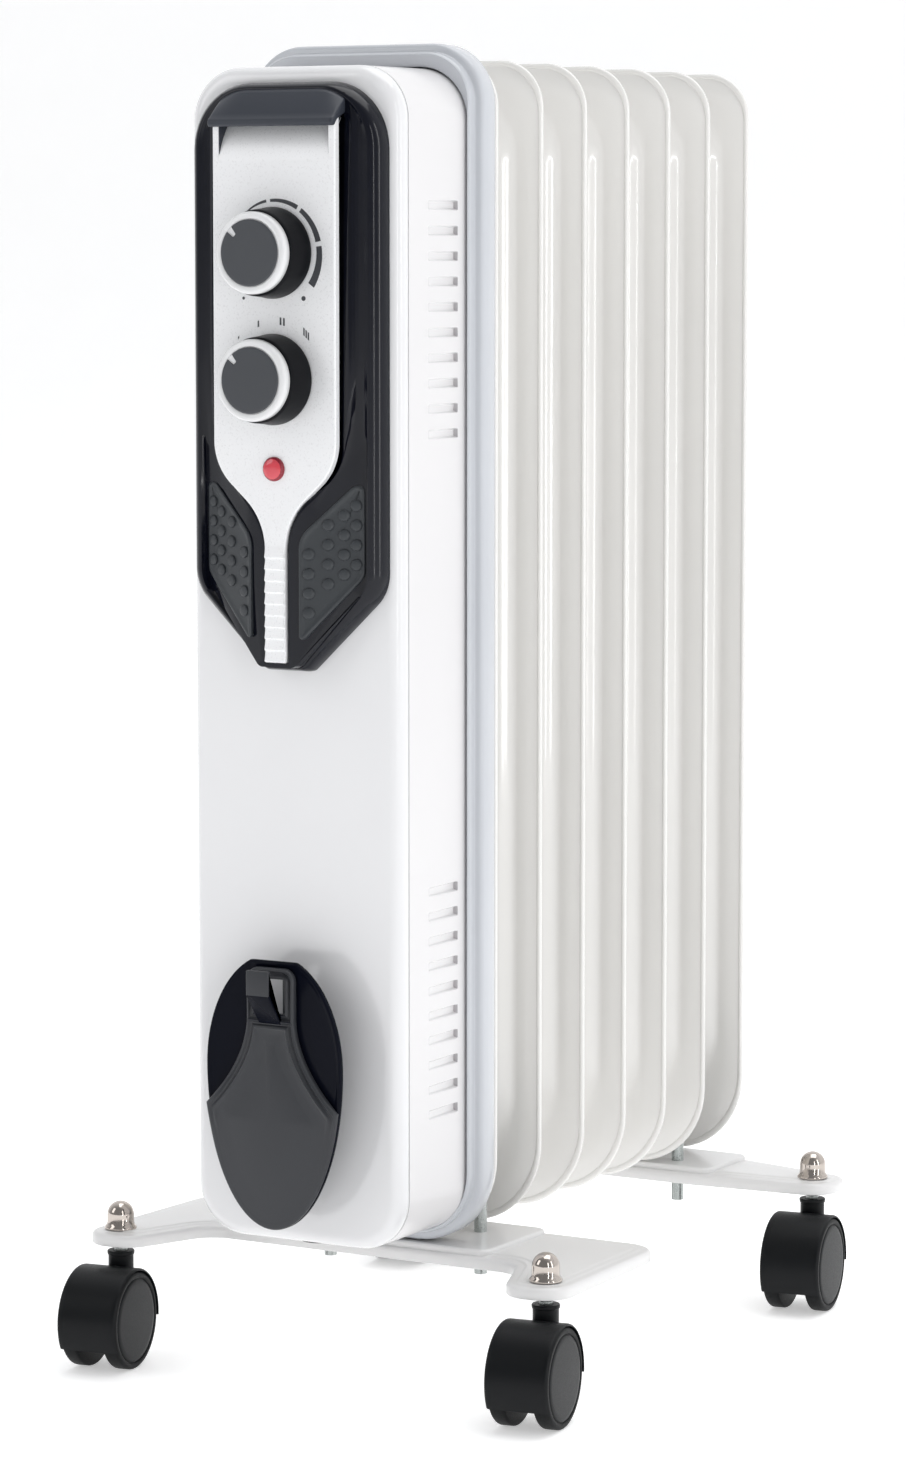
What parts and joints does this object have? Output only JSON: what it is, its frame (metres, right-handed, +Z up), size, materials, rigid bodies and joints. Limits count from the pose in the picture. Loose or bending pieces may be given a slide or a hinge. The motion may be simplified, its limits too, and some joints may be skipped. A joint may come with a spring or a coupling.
{
  "type": "oil filled radiator heater",
  "caption": "Portable oil filled column radiator on castors, with pressed fins, a slim control console, two turn knobs, a lamp and a cord winder.",
  "frame": {"origin": "on the floor in the middle plane, halfway between the front and the rear castor stems", "axes": "+Z up, +Y from the control console back along the stack of fins, +X to the right as seen from the front"},
  "size_m": [0.2675, 0.3788, 0.62],
  "materials": {
    "fin_paint": "gloss",
    "cover_paint": "gloss",
    "frame_paint": "gloss",
    "foot_paint": "gloss",
    "black_gloss": "gloss",
    "silver_fascia": "satin",
    "charcoal_satin": "satin",
    "pad_grey": "matte",
    "lamp_red": "gloss",
    "knob_black": "satin",
    "knob_white": "gloss",
    "knob_grey": "satin",
    "chrome": "polished",
    "zinc_steel": "satin",
    "brass": "satin",
    "seal_rubber": "matte",
    "inner_plastic": "matte",
    "wire_insulation": "matte",
    "castor_black": "satin",
    "tyre_black": "satin"
  },
  "bodies": {
    "heater": {"back_frame": "frame_paint", "bottom_bracket": "zinc_steel", "cap_nuts": "chrome", "castor_stems": "zinc_steel", "console_bezel": "black_gloss", "cord_gland": "seal_rubber", "dot_pad_left": "pad_grey", "dot_pad_right": "pad_grey", "element_flange": "brass", "element_gasket": "seal_rubber", "fascia_panel": "silver_fascia", "filler_plug": "brass", "fin_1": "fin_paint", "fin_2": "fin_paint", "fin_3": "fin_paint", "fin_4": "fin_paint", "fin_5": "fin_paint", "fin_6": "fin_paint", "fin_7": "fin_paint", "front_foot": "foot_paint", "front_panel": "cover_paint", "front_u_bolt": "zinc_steel", "handle_grip": "charcoal_satin", "heating_element": "zinc_steel", "lamp_body": "inner_plastic", "lamp_lens": "lamp_red", "mode_switch_body": "inner_plastic", "rear_foot": "foot_paint", "rear_u_bolt": "zinc_steel", "side_shell": "cover_paint", "terminal_block": "inner_plastic", "thermal_cutout": "inner_plastic", "thermostat_body": "inner_plastic", "top_bracket": "zinc_steel", "winder_face": "charcoal_satin", "winder_screws": "zinc_steel", "winder_spool": "black_gloss", "wing_nuts": "zinc_steel", "wiring": "wire_insulation"},
    "thermostat_knob": {"thermostat_shaft": "zinc_steel", "thermostat_knob_skirt": "knob_black", "thermostat_knob_ring": "knob_white", "thermostat_knob_cap": "knob_grey"},
    "mode_knob": {"mode_switch_shaft": "zinc_steel", "mode_knob_skirt": "knob_black", "mode_knob_ring": "knob_white", "mode_knob_cap": "knob_grey"},
    "castor_fl": {"castor_hood_fl": "castor_black"},
    "wheels_fl": {"castor_axle_fl": "zinc_steel", "castor_wheels_fl": "tyre_black"},
    "castor_fr": {"castor_hood_fr": "castor_black"},
    "wheels_fr": {"castor_axle_fr": "zinc_steel", "castor_wheels_fr": "tyre_black"},
    "castor_rl": {"castor_hood_rl": "castor_black"},
    "wheels_rl": {"castor_axle_rl": "zinc_steel", "castor_wheels_rl": "tyre_black"},
    "castor_rr": {"castor_hood_rr": "castor_black"},
    "wheels_rr": {"castor_axle_rr": "zinc_steel", "castor_wheels_rr": "tyre_black"}
  },
  "joints": [
    {"name": "thermostat_turn", "type": "hinge", "parent": "heater", "child": "thermostat_knob", "pos_m": [0, -0.1824, 0.5255], "axis": [0, 1, 0], "range_deg": [-90, 180]},
    {"name": "mode_turn", "type": "hinge", "parent": "heater", "child": "mode_knob", "pos_m": [0, -0.1824, 0.4692], "axis": [0, 1, 0], "range_deg": [0, 85]},
    {"name": "castor_swivel_fl", "type": "hinge", "parent": "heater", "child": "castor_fl", "pos_m": [-0.1155, -0.1381, 0.04], "axis": [0, 0, 1], "continuous": true},
    {"name": "wheel_spin_fl", "type": "hinge", "parent": "castor_fl", "child": "wheels_fl", "pos_m": [-0.11355, -0.15196, 0.0232], "axis": [0.9903, 0.1392, 0], "continuous": true},
    {"name": "castor_swivel_fr", "type": "hinge", "parent": "heater", "child": "castor_fr", "pos_m": [0.1155, -0.1381, 0.04], "axis": [0, 0, 1], "continuous": true},
    {"name": "wheel_spin_fr", "type": "hinge", "parent": "castor_fr", "child": "wheels_fr", "pos_m": [0.11745, -0.15196, 0.0232], "axis": [0.9903, 0.1392, 0], "continuous": true},
    {"name": "castor_swivel_rl", "type": "hinge", "parent": "heater", "child": "castor_rl", "pos_m": [-0.1155, 0.1381, 0.04], "axis": [0, 0, 1], "continuous": true},
    {"name": "wheel_spin_rl", "type": "hinge", "parent": "castor_rl", "child": "wheels_rl", "pos_m": [-0.11355, 0.12424, 0.0232], "axis": [0.9903, 0.1392, 0], "continuous": true},
    {"name": "castor_swivel_rr", "type": "hinge", "parent": "heater", "child": "castor_rr", "pos_m": [0.1155, 0.1381, 0.04], "axis": [0, 0, 1], "continuous": true},
    {"name": "wheel_spin_rr", "type": "hinge", "parent": "castor_rr", "child": "wheels_rr", "pos_m": [0.11745, 0.12424, 0.0232], "axis": [0.9903, 0.1392, 0], "continuous": true}
  ]
}
